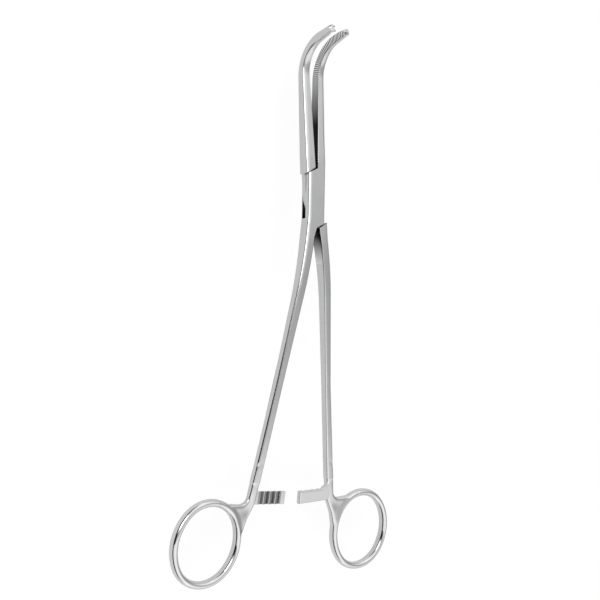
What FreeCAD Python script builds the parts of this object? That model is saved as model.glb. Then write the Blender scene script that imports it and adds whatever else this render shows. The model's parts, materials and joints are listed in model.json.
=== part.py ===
import FreeCAD, Part
import math
import os
from FreeCAD import Vector

# Bile duct clamp: two steel halves that cross in a box lock on one pivot pin.
# The female half has the box, whose two cheeks close over the neck of the male half.
# The halves are drawn shut, flat on the lock's middle plane: x across, y towards the
# jaws, z out of the front face. They are then opened to rest and laid on a table.
# Sizes are in millimetres and angles in degrees.

# Joint
REST_OPENING = 5.0
JAW_LIGHT = 0.03

# Box lock
LOCK_WIDTH = 8.8
LOCK_THICKNESS = 6.0
LOCK_EDGE_RADIUS = 1.0
JAW_SHOULDER = 12.5
HANDLE_SHOULDER = 13.2
SHOULDER_ANGLE = 30.0
SHOULDER_CHAMFER = 0.4
SHOULDER_CLEARANCE = 0.15
JAW_ROOT_LENGTH = 17.0
HANDLE_ROOT_LENGTH = 18.0
SLOT_THICKNESS = 2.2
SLOT_CLEARANCE = 0.05
WINDOW_REACH = 9.3
NECK_SIDE_CLEARANCE = 0.1
NECK_WAIST = 1.2
NECK_ROOTING = 1.0
NECK_END_CLEARANCE = 0.4
PIN_RADIUS = 1.6
PIN_CLEARANCE = 0.04

# Jaws: straight, then bent out of the front face, then straight to the tip
JAW_STRAIGHT = 52.8
JAW_BEND_RADIUS = 14.4
JAW_BEND_ANGLE = 81.0
JAW_END_LENGTH = 8.0
JAW_ROOT_WIDTH = 4.5
JAW_BEND_WIDTHS = (3.6, 2.7)
JAW_TIP_WIDTH = 2.5
JAW_BEND_THICKNESSES = (4.5, 3.9)
JAW_TIP_THICKNESS = 3.0
JAW_EDGE_RADIUS = 1.15
TIP_NOSE_LENGTH = 0.7
TIP_NOSE_SHARE = 0.72

# Cross serrations on the jaws' inner faces
SERRATION_START = 15.5
SERRATION_PITCH = 0.88
SERRATION_WIDTH = 0.68
SERRATION_DEPTH = 0.32

# Tip teeth: one on the female jaw closes between two on the male jaw
TOOTH_LENGTH = 1.5
TOOTH_HEIGHT = 1.0
TOOTH_WIDTH = 0.85
TOOTH_CLEARANCE = 0.08
TOOTH_TOP_SHARE = 0.35
RELIEF_LENGTH = 1.5
RELIEF_DEPTH = 0.6

# Handles: shanks set back from the lock, with finger rings in the set-back plane
SETBACK_START = 18.0
SETBACK_ANGLE = 10.9
SETBACK_RADIUS = 136.0
SHANK_INNER_START = 0.85
SHANK_INNER_SLOPE = 0.114
SHANK_ROOT_WIDTH = 4.5
SHANK_MIDDLE_AT = 80.0
SHANK_MIDDLE_WIDTH = 3.4
SHANK_END_AT = 120.0
SHANK_END_WIDTH = 3.8
SHANK_THICKNESSES = (4.6, 3.7, 3.4)
SHANK_EDGE_RADIUS = 0.8
RING_ACROSS = 34.3
RING_ALONG = 145.8
RING_HALF_WIDTH = 14.8
RING_HALF_LENGTH = 16.7
RING_LEAN = 5.1
RING_WIRE_WIDTH = 3.2
RING_WIRE_THICKNESS = 4.4
RING_WIRE_FLATS = 14
WEB_THICKNESS = 3.3
WEB_EDGE_RADIUS = 0.9
WEB_OVERLAP = 4.0
WEB_SINK = 0.1
WEB_SIDE_TURN = 75.0
WEB_TOP_TURN = 24.0
WEB_HEEL_RADIUS = 4.0
WEB_SIDE_BOW = 1.6
WEB_SIDE_RADIUS = 8.0
WEB_VALLEY_DIP = 0.5
WEB_CROTCH_RADIUS = 3.5

# Ratchet: the female arm lies behind the middle plane and the male arm before it
ARM_ALONG = 124.9
ARM_HEIGHT = 5.4
ARM_REACH = 2.3
ARM_THICKNESS = 2.1
ARM_CLEARANCE = 0.05
ARM_SINK = 0.6
ARM_ROOTING = 2.0
FEMALE_ARM_FILLET = 1.2
MALE_ARM_FILLET = 5.0
RATCHET_TEETH = 4
RATCHET_PITCH = 3.0
RATCHET_DEPTH = 0.9
RATCHET_LAND = 0.35
RATCHET_END_LAND = 2.25

# Sections drawn through each curved stretch, and how finely the resting points are found
JAW_BEND_SECTIONS = 7
SETBACK_SECTIONS = 6
RESTING_ERROR = 0.02

HALF_LOCK = LOCK_WIDTH / 2
HALF_THICK = LOCK_THICKNESS / 2
SHOULDER_SLOPE = math.tan(math.radians(SHOULDER_ANGLE))
SHOULDER_LIFT = SHOULDER_CLEARANCE / math.cos(math.radians(SHOULDER_ANGLE))
JAW_LENGTH = JAW_STRAIGHT + JAW_BEND_RADIUS * math.radians(JAW_BEND_ANGLE) + JAW_END_LENGTH


def bent_line(s, straight, radius, turn):
    """Reach, rise and slope angle of a line that runs straight, bends and runs on."""
    if s <= straight:
        return s, 0.0, 0.0
    angle = min((s - straight) / radius, turn)
    beyond = max(s - straight - radius * turn, 0.0)
    reach = straight + radius * math.sin(angle) + beyond * math.cos(angle)
    rise = radius * (1 - math.cos(angle)) + beyond * math.sin(angle)
    return reach, rise, angle


def jaw_point(s, x, e):
    """Point at s along the jaw, x across and e towards the front of its bent middle."""
    reach, rise, angle = bent_line(s, JAW_STRAIGHT, JAW_BEND_RADIUS, math.radians(JAW_BEND_ANGLE))
    return Vector(x, reach - e * math.sin(angle), rise + e * math.cos(angle))


def handle_point(s, x, e):
    """Point at s along the handle, which bends back as the jaw bends forward."""
    reach, drop, angle = bent_line(s, SETBACK_START, SETBACK_RADIUS, math.radians(SETBACK_ANGLE))
    return Vector(x, -reach - e * math.sin(angle), -drop + e * math.cos(angle))


def rounded_outline(point, s, x0, x1, half, inner_radius, outer_radius):
    """Closed rectangle from x0 to x1 across a jaw or handle, at s along it.

    Its corners are rounded on each side that has a radius."""
    corners = [(x0, -half, inner_radius, 1, 1, 180), (x1, -half, outer_radius, -1, 1, 270),
               (x1, half, outer_radius, -1, -1, 0), (x0, half, inner_radius, 1, -1, 90)]
    stops = []
    for x, e, radius, to_x, to_e, start in corners:
        turns = [math.radians(start + step) for step in ((0, 45, 90) if radius else (0,))]
        stops.append([point(s, x + to_x * radius + radius * math.cos(a),
                            e + to_e * radius + radius * math.sin(a)) for a in turns])
    edges = []
    for corner, following in zip(stops, stops[1:] + stops[:1]):
        if len(corner) > 1:
            edges.append(Part.Arc(*corner).toShape())
        edges.append(Part.makeLine(corner[-1], following[0]))
    return Part.Wire(edges)


def spread(first, last, count):
    """Evenly spaced values from first to last."""
    return [first + (last - first) * i / (count - 1) for i in range(count)]


def between(value, knots, values):
    """Straight-line value between knots."""
    for k0, k1, v0, v1 in zip(knots, knots[1:], values, values[1:]):
        if value <= k1:
            return v0 + (v1 - v0) * (value - k0) / (k1 - k0)
    return values[-1]


def mirrored(shape):
    """The same shape on the other side of the clamp's middle."""
    return shape.mirror(Vector(0, 0, 0), Vector(1, 0, 0))


def plate(points, low, high):
    """Flat prism over a closed outline, from z = low to z = high."""
    outline = Part.makePolygon([Vector(x, y, low) for x, y in points + points[:1]])
    return Part.Face(outline).extrude(Vector(0, 0, high - low))


def rim_edges(solid, starts_and_ends):
    """Front and back edges of a prism that lie over the given sides of its outline."""
    found = []
    for (x0, y0), (x1, y1) in starts_and_ends:
        middle = Vector((x0 + x1) / 2, (y0 + y1) / 2, 0)
        for edge in solid.Edges:
            centre = edge.CenterOfMass
            flat = Vector(centre.x, centre.y, 0)
            if abs(abs(centre.z) - HALF_THICK) < 1e-6 and flat.distanceToPoint(middle) < 1e-6:
                found.append(edge)
    return found


def softened(solid, long_sides, shoulders):
    """Prism with its long rims rounded and its shoulder rims bevelled."""
    solid = solid.makeFillet(LOCK_EDGE_RADIUS, rim_edges(solid, long_sides))
    front_and_back = []
    for (x0, y0), (x1, y1) in shoulders:
        along = Vector(x1 - x0, y1 - y0, 0).normalize()
        for edge in solid.Edges:
            first, last = edge.Vertexes[0].Point, edge.Vertexes[-1].Point
            if abs(first.z - last.z) > 1e-6 or abs(abs(first.z) - HALF_THICK) > 1e-6:
                continue
            from_start = Vector(first.x - x0, first.y - y0, 0)
            to_end = Vector(last.x - x0, last.y - y0, 0)
            if from_start.cross(along).Length < 1e-5 and to_end.cross(along).Length < 1e-5:
                front_and_back.append(edge)
    return solid.makeChamfer(SHOULDER_CHAMFER, front_and_back)


def rounded_path(points, radii):
    """Edges of an open path through points, with an arc at each one between its ends."""
    edges = []
    start = points[0]
    for before, corner, after, radius in zip(points, points[1:], points[2:], radii):
        back = (before - corner).normalize()
        onwards = (after - corner).normalize()
        half = back.getAngle(onwards) / 2
        reach = radius / math.tan(half)
        nearest = corner + (back + onwards).normalize() * (radius / math.sin(half) - radius)
        edges.append(Part.makeLine(start, corner + back * reach))
        edges.append(Part.Arc(corner + back * reach, nearest, corner + onwards * reach).toShape())
        start = corner + onwards * reach
    edges.append(Part.makeLine(start, points[-1]))
    return edges


def jaw_shoulder_y(x):
    """Height of the sloping line where the female cheek ends below the male jaw."""
    return JAW_SHOULDER + x * SHOULDER_SLOPE


def handle_shoulder_y(x):
    """Height of the sloping line where the female cheek ends above the male shank."""
    return -HANDLE_SHOULDER + x * SHOULDER_SLOPE


def shank_inner(s):
    """Inner side of the shank from the middle line, at s along the handle."""
    return SHANK_INNER_START + SHANK_INNER_SLOPE * (s - HANDLE_ROOT_LENGTH)


def shank_width(s):
    knots = (HANDLE_ROOT_LENGTH, SHANK_MIDDLE_AT, SHANK_END_AT)
    return between(s, knots, (SHANK_ROOT_WIDTH, SHANK_MIDDLE_WIDTH, SHANK_END_WIDTH))


def female_lock():
    """Box with its two cheeks, from the right jaw's root to the left shank's root."""
    jaw_top = (JAW_LIGHT, JAW_ROOT_LENGTH)
    jaw_outer = (JAW_ROOT_WIDTH, JAW_ROOT_LENGTH)
    right_low = (HALF_LOCK, handle_shoulder_y(HALF_LOCK))
    centre_low = (0.0, handle_shoulder_y(0.0))
    inner_low = (-SHANK_INNER_START, -HANDLE_ROOT_LENGTH)
    outer_low = (-SHANK_INNER_START - SHANK_ROOT_WIDTH, -HANDLE_ROOT_LENGTH)
    left_low = (-HALF_LOCK, -WINDOW_REACH)
    left_top = (-HALF_LOCK, jaw_shoulder_y(-HALF_LOCK))
    centre_top = (JAW_LIGHT, jaw_shoulder_y(JAW_LIGHT))
    outline = [jaw_top, jaw_outer, right_low, centre_low, inner_low, outer_low,
               left_low, left_top, centre_top]
    block = plate(outline, -HALF_THICK, HALF_THICK)
    block = softened(block, [(jaw_outer, right_low), (outer_low, left_low), (left_low, left_top)],
                     [(right_low, centre_low), (left_top, centre_top)])
    reach = LOCK_WIDTH
    window_slope = (JAW_SHOULDER - WINDOW_REACH) / HALF_LOCK
    slot = [(-reach, JAW_ROOT_LENGTH), (0, JAW_ROOT_LENGTH), (0, JAW_SHOULDER),
            (reach, JAW_SHOULDER - window_slope * reach), (reach, -HANDLE_ROOT_LENGTH),
            (0, -HANDLE_ROOT_LENGTH), (0, -HANDLE_SHOULDER),
            (-HALF_LOCK, -WINDOW_REACH), (-reach, -WINDOW_REACH)]
    block = block.cut(plate(slot, -SLOT_THICKNESS / 2, SLOT_THICKNESS / 2))
    return block.cut(pin_bore(PIN_RADIUS))


def male_lock():
    """Thin neck that passes through the box, with a full-thickness root at each end."""
    half_neck = SLOT_THICKNESS / 2 - SLOT_CLEARANCE
    side = HALF_LOCK - NECK_SIDE_CLEARANCE
    jaw_low = jaw_shoulder_y(-HALF_LOCK) + SHOULDER_LIFT
    handle_high = handle_shoulder_y(HALF_LOCK) - SHOULDER_LIFT
    shank_low = -HANDLE_SHOULDER - NECK_END_CLEARANCE
    neck = plate([(-side, jaw_low + NECK_ROOTING), (-side, -NECK_WAIST),
                  (NECK_END_CLEARANCE, shank_low), (side, handle_high - NECK_ROOTING),
                  (side, NECK_WAIST), (-NECK_END_CLEARANCE, JAW_SHOULDER + NECK_END_CLEARANCE)],
                 -half_neck, half_neck)
    root_corner = (-JAW_ROOT_WIDTH, jaw_shoulder_y(-JAW_ROOT_WIDTH) + SHOULDER_LIFT)
    root_centre = (-JAW_LIGHT, jaw_shoulder_y(-JAW_LIGHT) + SHOULDER_LIFT)
    root_top = (-JAW_LIGHT, JAW_ROOT_LENGTH)
    root_outer = (-JAW_ROOT_WIDTH, JAW_ROOT_LENGTH)
    jaw_root = plate([root_corner, root_centre, root_top, root_outer], -HALF_THICK, HALF_THICK)
    jaw_root = softened(jaw_root, [(root_outer, root_corner)], [(root_corner, root_centre)])
    outer = SHANK_INNER_START + SHANK_ROOT_WIDTH
    shoulder_outer = (outer, handle_shoulder_y(outer) - SHOULDER_LIFT)
    shoulder_inner = (NECK_END_CLEARANCE, handle_shoulder_y(NECK_END_CLEARANCE) - SHOULDER_LIFT)
    low_inner = (SHANK_INNER_START, -HANDLE_ROOT_LENGTH)
    low_outer = (outer, -HANDLE_ROOT_LENGTH)
    shank_root = plate([shoulder_outer, shoulder_inner, low_inner, low_outer],
                       -HALF_THICK, HALF_THICK)
    shank_root = softened(shank_root, [(shoulder_outer, low_outer)],
                          [(shoulder_outer, shoulder_inner)])
    return neck.fuse([jaw_root, shank_root]).cut(pin_bore(PIN_RADIUS + PIN_CLEARANCE))


def pin_bore(radius):
    return Part.makeCylinder(radius, LOCK_THICKNESS, Vector(0, 0, -HALF_THICK))


def jaw_size(s):
    """Width and thickness of the jaw at s along it."""
    bend_end = JAW_LENGTH - JAW_END_LENGTH
    knots = (JAW_ROOT_LENGTH, JAW_STRAIGHT, bend_end, JAW_LENGTH)
    width = between(s, knots, (JAW_ROOT_WIDTH,) + JAW_BEND_WIDTHS + (JAW_TIP_WIDTH,))
    thickness = between(s, knots, (LOCK_THICKNESS,) + JAW_BEND_THICKNESSES + (JAW_TIP_THICKNESS,))
    return width, thickness


def jaw_outline(s, share=1.0):
    """Jaw's section at s: flat and crisp inside, well rounded outside."""
    width, thickness = jaw_size(s)
    return rounded_outline(jaw_point, s, JAW_LIGHT, JAW_LIGHT + (width - JAW_LIGHT) * share,
                           thickness / 2 * share, 0.0, JAW_EDGE_RADIUS * share)


def jaw_blank():
    """Right jaw without its serrations and teeth."""
    bend_end = JAW_LENGTH - JAW_END_LENGTH
    nose = JAW_LENGTH - TIP_NOSE_LENGTH
    bend = [jaw_outline(s) for s in spread(JAW_STRAIGHT, bend_end, JAW_BEND_SECTIONS)]
    pieces = [Part.makeLoft([jaw_outline(JAW_ROOT_LENGTH), jaw_outline(JAW_STRAIGHT)], True, True),
              Part.makeLoft(bend, True),
              Part.makeLoft([jaw_outline(bend_end), jaw_outline(nose)], True, True),
              Part.makeLoft([jaw_outline(nose), jaw_outline(JAW_LENGTH, TIP_NOSE_SHARE)], True, True)]
    return pieces[0].fuse(pieces[1:])


def jaw_wedge(s0, s1, x0, x1, e0, e1):
    """Block that follows the jaw, from s0 to s1 along, x0 to x1 across and e0 to e1 deep."""
    ends = []
    for e in (e0, e1):
        ring = [jaw_point(s0, x0, e), jaw_point(s1, x0, e), jaw_point(s1, x1, e), jaw_point(s0, x1, e)]
        ends.append(Part.makePolygon(ring + ring[:1]))
    return Part.makeLoft(ends, True, True)


def serrations():
    """Vee grooves across the right jaw's inner face."""
    grooves = []
    end = JAW_LENGTH - TOOTH_LENGTH - RELIEF_LENGTH
    for i in range(int((end - SERRATION_START) / SERRATION_PITCH)):
        middle = SERRATION_START + (i + 0.5) * SERRATION_PITCH
        reach = LOCK_THICKNESS if middle < JAW_STRAIGHT else HALF_THICK
        sides = []
        for e in (-reach, reach):
            vee = [jaw_point(middle - SERRATION_WIDTH / 2, 0, e),
                   jaw_point(middle + SERRATION_WIDTH / 2, 0, e),
                   jaw_point(middle, JAW_LIGHT + SERRATION_DEPTH, e)]
            sides.append(Part.makePolygon(vee + vee[:1]))
        grooves.append(Part.makeLoft(sides, True, True))
    return grooves


def male_tooth_offset():
    """Middle of each male tooth, to the side of the one female tooth."""
    return TOOTH_WIDTH + 2 * TOOTH_CLEARANCE


def tip_tooth(middle):
    """Pointed tooth across the light between the tips, at e = middle."""
    rings = []
    for x, share in ((JAW_TIP_WIDTH / 2, 1.0), (0.0, 1.0), (-TOOTH_HEIGHT, TOOTH_TOP_SHARE)):
        half = TOOTH_WIDTH / 2 * share
        back = JAW_LENGTH - TOOTH_LENGTH
        front = JAW_LENGTH - TIP_NOSE_LENGTH / 2
        trim = (front - back) * (1 - share) / 2
        ring = [jaw_point(back + trim, x, middle - half), jaw_point(front - trim, x, middle - half),
                jaw_point(front - trim, x, middle + half), jaw_point(back + trim, x, middle + half)]
        rings.append(Part.makePolygon(ring + ring[:1]))
    return Part.makeLoft(rings[:2], True, True).fuse(Part.makeLoft(rings[1:], True, True))


def jaw_with_teeth(blank, tooth_middles, notch_middles):
    """Right jaw with its relief, the notches for the other jaw's teeth and its own teeth."""
    depth = TOOTH_HEIGHT + TOOTH_CLEARANCE
    side = HALF_THICK
    back = JAW_LENGTH - TOOTH_LENGTH
    past_tip = JAW_LENGTH + TIP_NOSE_LENGTH
    cuts = [jaw_wedge(back - RELIEF_LENGTH, back, -JAW_LIGHT, RELIEF_DEPTH, -side, side)]
    half_notch = TOOTH_WIDTH / 2 + TOOTH_CLEARANCE
    for middle in notch_middles:
        low = -side if middle < 0 else middle - half_notch
        high = side if middle > 0 else middle + half_notch
        cuts.append(jaw_wedge(back - TOOTH_CLEARANCE, past_tip, -JAW_LIGHT, depth, low, high))
    return blank.cut(cuts).fuse([tip_tooth(middle) for middle in tooth_middles])


def shank():
    """Right shank, from the lock's root to the top of the finger ring."""
    setback_end = SETBACK_START + SETBACK_RADIUS * math.radians(SETBACK_ANGLE)
    knots = (HANDLE_ROOT_LENGTH, setback_end, SHANK_MIDDLE_AT, SHANK_END_AT)

    def outline(s):
        x = shank_inner(s)
        half = between(s, knots, (LOCK_THICKNESS,) + SHANK_THICKNESSES) / 2
        return rounded_outline(handle_point, s, x, x + shank_width(s), half,
                               SHANK_EDGE_RADIUS, SHANK_EDGE_RADIUS)

    stations = spread(HANDLE_ROOT_LENGTH, setback_end, SETBACK_SECTIONS)
    stations += [SHANK_MIDDLE_AT, SHANK_END_AT]
    return Part.makeLoft([outline(s) for s in stations], True, True)


def to_handle_plane(shape):
    """Moves a shape drawn flat, with x across and y = -s along, into the set-back plane."""
    angle = math.radians(SETBACK_ANGLE)
    arc = SETBACK_RADIUS * angle
    pivot = SETBACK_START + SETBACK_RADIUS * math.tan(angle / 2)
    excess = 2 * SETBACK_RADIUS * math.tan(angle / 2) - arc
    moved = shape.copy()
    moved.translate(Vector(0, pivot - excess, 0))
    moved.rotate(Vector(0, 0, 0), Vector(1, 0, 0), SETBACK_ANGLE)
    moved.translate(Vector(0, -pivot, 0))
    return moved


def ring_point(turn):
    """Point inside the finger ring's wire, drawn flat, at an angle from its long axis."""
    lean = math.radians(RING_LEAN)
    across = -RING_HALF_WIDTH * math.sin(math.radians(turn))
    along = RING_HALF_LENGTH * math.cos(math.radians(turn))
    return Vector(RING_ACROSS + across * math.cos(lean) - along * math.sin(lean),
                  -RING_ALONG + across * math.sin(lean) + along * math.cos(lean), 0)


def bent_wire(centre, middle, half_turn):
    """Ring's oval wire bent round a centre, by the same angle to each side of its middle."""
    outwards = (middle - centre).normalize()
    crest = Vector(0, 0, 1)
    rim = []
    for i in range(RING_WIRE_FLATS):
        turn = 2 * math.pi * i / RING_WIRE_FLATS
        rim.append(middle + outwards * (RING_WIRE_WIDTH / 2 * math.cos(turn))
                   + crest * (RING_WIRE_THICKNESS / 2 * math.sin(turn)))
    face = Part.Face(Part.makePolygon(rim + rim[:1]))
    face.rotate(centre, crest, -half_turn)
    return face.revolve(centre, crest, 2 * half_turn)


def finger_ring():
    """Right finger ring: an oval of four arcs that run smoothly into each other."""
    end_radius = (RING_HALF_WIDTH ** 2 / RING_HALF_LENGTH + RING_HALF_WIDTH) / 2
    rise = RING_HALF_LENGTH - end_radius
    side_radius = ((rise ** 2 + RING_HALF_WIDTH ** 2 - end_radius ** 2)
                   / (2 * (RING_HALF_WIDTH - end_radius)))
    inset = side_radius - RING_HALF_WIDTH
    end_turn = math.degrees(math.atan2(inset, rise))
    arcs = []
    for half_circle in (0, 180):
        end = bent_wire(Vector(0, rise, 0), Vector(0, RING_HALF_LENGTH, 0), end_turn)
        side = bent_wire(Vector(-inset, 0, 0), Vector(RING_HALF_WIDTH, 0, 0), 90 - end_turn)
        for arc in (end, side):
            arc.rotate(Vector(0, 0, 0), Vector(0, 0, 1), half_circle + RING_LEAN)
            arc.translate(Vector(RING_ACROSS, -RING_ALONG, 0))
            arcs.append(arc)
    return arcs[0].fuse(arcs[1:])


def ring_web():
    """Flat web that spreads from the shank's end into the ring, with rounded rims."""
    start = SHANK_END_AT - WEB_OVERLAP
    heel = ARM_ALONG + ARM_HEIGHT
    inner_start = Vector(shank_inner(start), -start, 0)
    outer_start = Vector(shank_inner(start) + shank_width(start), -start, 0)
    side = ring_point(WEB_SIDE_TURN)
    side_rim = side - Vector(RING_WIRE_WIDTH / 2 - WEB_SINK, 0, 0)
    top = ring_point(WEB_TOP_TURN)
    top_rim = top + Vector(0, RING_WIRE_WIDTH / 2 - WEB_SINK, 0)
    bow = Vector(side_rim.x - WEB_SIDE_BOW, (side_rim.y - heel) / 2, 0)
    inner_side = rounded_path([inner_start, Vector(shank_inner(heel), -heel, 0), bow, side_rim],
                              [WEB_HEEL_RADIUS, WEB_SIDE_RADIUS])
    outer_end = Vector(shank_inner(SHANK_END_AT) + SHANK_END_WIDTH, -SHANK_END_AT, 0)
    crotch_drop = (outer_start.y - top_rim.y + WEB_VALLEY_DIP) / WEB_OVERLAP
    crotch = outer_start + (outer_end - outer_start) * crotch_drop
    outer_side = rounded_path([top_rim, crotch, outer_start], [WEB_CROTCH_RADIUS])
    between_turns = ring_point((WEB_SIDE_TURN + WEB_TOP_TURN) / 2)
    in_ring = [Part.makeLine(side_rim, side), Part.Arc(side, between_turns, top).toShape(),
               Part.makeLine(top, top_rim)]
    outline = inner_side + in_ring + outer_side + [Part.makeLine(outer_start, inner_start)]
    web = Part.Face(Part.Wire(outline)).extrude(Vector(0, 0, WEB_THICKNESS))
    web.translate(Vector(0, 0, -WEB_THICKNESS / 2))
    rims = []
    for edge in web.Edges:
        centre = edge.CenterOfMass
        flat = Vector(centre.x, centre.y, 0)
        over_side = any(flat.distanceToPoint(part.CenterOfMass) < 1e-6
                        for part in inner_side + outer_side)
        if over_side and abs(abs(centre.z) - WEB_THICKNESS / 2) < 1e-6:
            rims.append(edge)
    return web.makeFillet(WEB_EDGE_RADIUS, rims)


def ratchet_arm(front, fillet):
    """Right ratchet arm with saw teeth on the side that faces the other arm."""
    root = shank_inner(ARM_ALONG) + ARM_SINK
    inside = root + ARM_ROOTING
    high = -ARM_ALONG
    low = high - ARM_HEIGHT
    upper = rounded_path([Vector(-ARM_REACH, high, 0), Vector(root, high, 0),
                          Vector(root, high + ARM_HEIGHT + fillet, 0)], [fillet])
    rest = Part.makePolygon([Vector(root, high + ARM_HEIGHT + fillet, 0),
                             Vector(inside, high + ARM_HEIGHT, 0), Vector(inside, low, 0),
                             Vector(-ARM_REACH, low, 0), Vector(-ARM_REACH, high, 0)])
    flat = Part.Face(Part.Wire(upper + rest.Edges))
    arm = flat.extrude(Vector(0, 0, ARM_THICKNESS))
    base = ARM_CLEARANCE if front else -ARM_CLEARANCE - ARM_THICKNESS
    arm.translate(Vector(0, 0, base))
    face = ARM_CLEARANCE if front else -ARM_CLEARANCE
    into = RATCHET_DEPTH if front else -RATCHET_DEPTH
    gullets = []
    for i in range(RATCHET_TEETH):
        steep = -ARM_REACH + RATCHET_END_LAND + RATCHET_PITCH * i
        gullet = [Vector(steep, low, face), Vector(steep, low, face + into),
                  Vector(steep + RATCHET_PITCH - RATCHET_LAND, low, face)]
        wedge = Part.Face(Part.makePolygon(gullet + gullet[:1]))
        gullets.append(wedge.extrude(Vector(0, ARM_HEIGHT, 0)))
    return arm.cut(gullets)


def handle(front, fillet):
    """Right shank, finger ring, web and ratchet arm."""
    flat = [finger_ring(), ring_web(), ratchet_arm(front, fillet)]
    return shank().fuse([to_handle_plane(shape) for shape in flat])


def whole(shape, name):
    """The one solid of a fused shape, with needless seams removed."""
    clean = shape.removeSplitter()
    if len(clean.Solids) != 1:
        raise ValueError(name + " should be one solid, not " + str(len(clean.Solids)))
    return clean.Solids[0]


def female_half(blank, grooves):
    """Right jaw with one tip tooth, the box and the left handle."""
    sides = [-male_tooth_offset(), male_tooth_offset()]
    jaw = jaw_with_teeth(blank, [0.0], sides)
    body = jaw.fuse([female_lock(), mirrored(handle(False, FEMALE_ARM_FILLET))])
    return whole(body.cut(grooves), "female_half")


def male_half(blank, grooves):
    """Left jaw with two tip teeth, the neck and the right handle."""
    sides = [-male_tooth_offset(), male_tooth_offset()]
    jaw = jaw_with_teeth(blank, sides, [0.0])
    body = mirrored(jaw).fuse([male_lock(), handle(True, MALE_ARM_FILLET)])
    return whole(body.cut([mirrored(groove) for groove in grooves]), "male_half")


def lay_angle(shapes):
    """Angle that brings the jaws' heels and the rings' far ends down to one level."""
    points = [point for shape in shapes for point in shape.tessellate(RESTING_ERROR)[0]]
    heels = [p for p in points if p.y > JAW_ROOT_LENGTH]
    rings = [p for p in points if p.y < -SHANK_END_AT]
    angle = 0.0
    for _ in range(6):
        heel = min(heels, key=lambda p: p.z * math.cos(angle) - p.y * math.sin(angle))
        ring = min(rings, key=lambda p: p.z * math.cos(angle) - p.y * math.sin(angle))
        angle = math.atan2(heel.z - ring.z, heel.y - ring.y)
    return math.degrees(angle)


def placed(shapes):
    """Shapes laid on z = 0 with the middle of their outer box over the origin."""
    laid = []
    angle = lay_angle(shapes)
    for shape in shapes:
        moved = shape.copy()
        moved.rotate(Vector(0, 0, 0), Vector(1, 0, 0), -angle)
        laid.append(moved)
    points = [point for shape in laid for point in shape.tessellate(RESTING_ERROR)[0]]
    shift = Vector(-(min(p.x for p in points) + max(p.x for p in points)) / 2,
                   -(min(p.y for p in points) + max(p.y for p in points)) / 2,
                   -min(p.z for p in points))
    for shape in laid:
        shape.translate(shift)
    print("lay angle", round(angle, 4), "lock centre", [round(v, 4) for v in shift])
    return laid


def main():
    os.makedirs("parts", exist_ok=True)
    blank = jaw_blank()
    grooves = serrations()
    female = female_half(blank, grooves)
    male = male_half(blank, grooves)
    pin = pin_bore(PIN_RADIUS)
    axis = Vector(0, 0, 1)
    female.rotate(Vector(0, 0, 0), axis, -REST_OPENING / 2)
    male.rotate(Vector(0, 0, 0), axis, REST_OPENING / 2)
    names = ("female_half", "male_half", "pivot_pin")
    for name, shape in zip(names, placed([female, male, pin])):
        shape.exportStep("parts/" + name + ".step")
        print(name, "valid", shape.isValid(), "volume", round(shape.Volume, 2))


main()
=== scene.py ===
import json
import math

import bmesh
import bpy
from mathutils import Matrix, Vector


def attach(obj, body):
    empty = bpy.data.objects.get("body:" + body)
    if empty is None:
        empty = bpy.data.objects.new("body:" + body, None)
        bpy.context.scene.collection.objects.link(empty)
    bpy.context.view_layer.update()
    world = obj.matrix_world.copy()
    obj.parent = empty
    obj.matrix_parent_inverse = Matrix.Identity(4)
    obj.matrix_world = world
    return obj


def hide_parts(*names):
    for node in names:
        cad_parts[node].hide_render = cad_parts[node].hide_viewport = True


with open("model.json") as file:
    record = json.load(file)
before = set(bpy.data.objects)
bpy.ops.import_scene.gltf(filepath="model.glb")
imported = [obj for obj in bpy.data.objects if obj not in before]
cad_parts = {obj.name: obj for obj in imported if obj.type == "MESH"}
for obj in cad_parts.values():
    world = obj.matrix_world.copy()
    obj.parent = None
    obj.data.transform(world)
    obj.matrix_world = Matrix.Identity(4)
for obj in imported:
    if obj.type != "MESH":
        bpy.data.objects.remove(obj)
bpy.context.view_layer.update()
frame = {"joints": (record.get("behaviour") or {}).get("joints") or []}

# Jaws and box. The female half is one stainless forging: the right jaw, the box of the lock
# with a slot through it, and the left shank. Its jaw is flat inside and round outside, filed
# across with fine grooves, and bent up near the tip after filing.

# Both halves are drawn shut and straight, in millimetres from the pin, with x across, y
# towards the jaws and z out of the front. Every jaw is drawn on the right.
HALF_GAP = 0.03
HALF_LOCK, HALF_THICK = 4.4, 3.0
JAW_SHOULDER, HANDLE_SHOULDER = 12.5, -13.2
SHOULDER_TURN = math.radians(30)
SHOULDER_SLOPE = math.tan(SHOULDER_TURN)
CHEEK_LOW = -9.3
OUTER_ROUNDING, BOX_ROUNDING, INNER_ROUNDING = 1.6, 1.0, 0.7
SHOULDER_ROUNDING, JAW_FACE_ROUNDING = 0.45, 0.2

JAW_START, JAW_STRAIGHT, JAW_BEND, JAW_TURN = 15.2, 52.8, 14.4, math.radians(81)
BEND_END = JAW_STRAIGHT + JAW_BEND * JAW_TURN
JAW_END = BEND_END + 8.0
JAW_ROOT = 17.0
JAW_KNOTS = (JAW_ROOT, JAW_STRAIGHT, BEND_END, JAW_END)
JAW_WIDTHS = (4.5, 3.6, 2.7, 2.5)
JAW_HALVES = (HALF_THICK, 2.25, 1.95, 1.5)
CROWN_GAIN_ACROSS, CROWN_GAIN_DOWN, CROWNED_AT = 0.8, 0.3, 26.0
GROOVE_START, GROOVE_PITCH, GROOVE_HALF, GROOVE_DEPTH = 15.5, 0.88, 0.24, 0.3
TOOTH_LENGTH, TOOTH_WIDTH, TOOTH_GAP = 1.5, 0.85, 0.08
TOOTH_INSET, TOOTH_ROOT, TOOTH_RISE, TOOTH_POINT_SHARE = 0.35, 1.25, 1.0, 0.35
NOTCH_DEPTH = 1.08
RELIEF_LENGTH, RELIEF_DEPTH, RELIEF_WALL = 1.5, 0.57, 0.05
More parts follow.
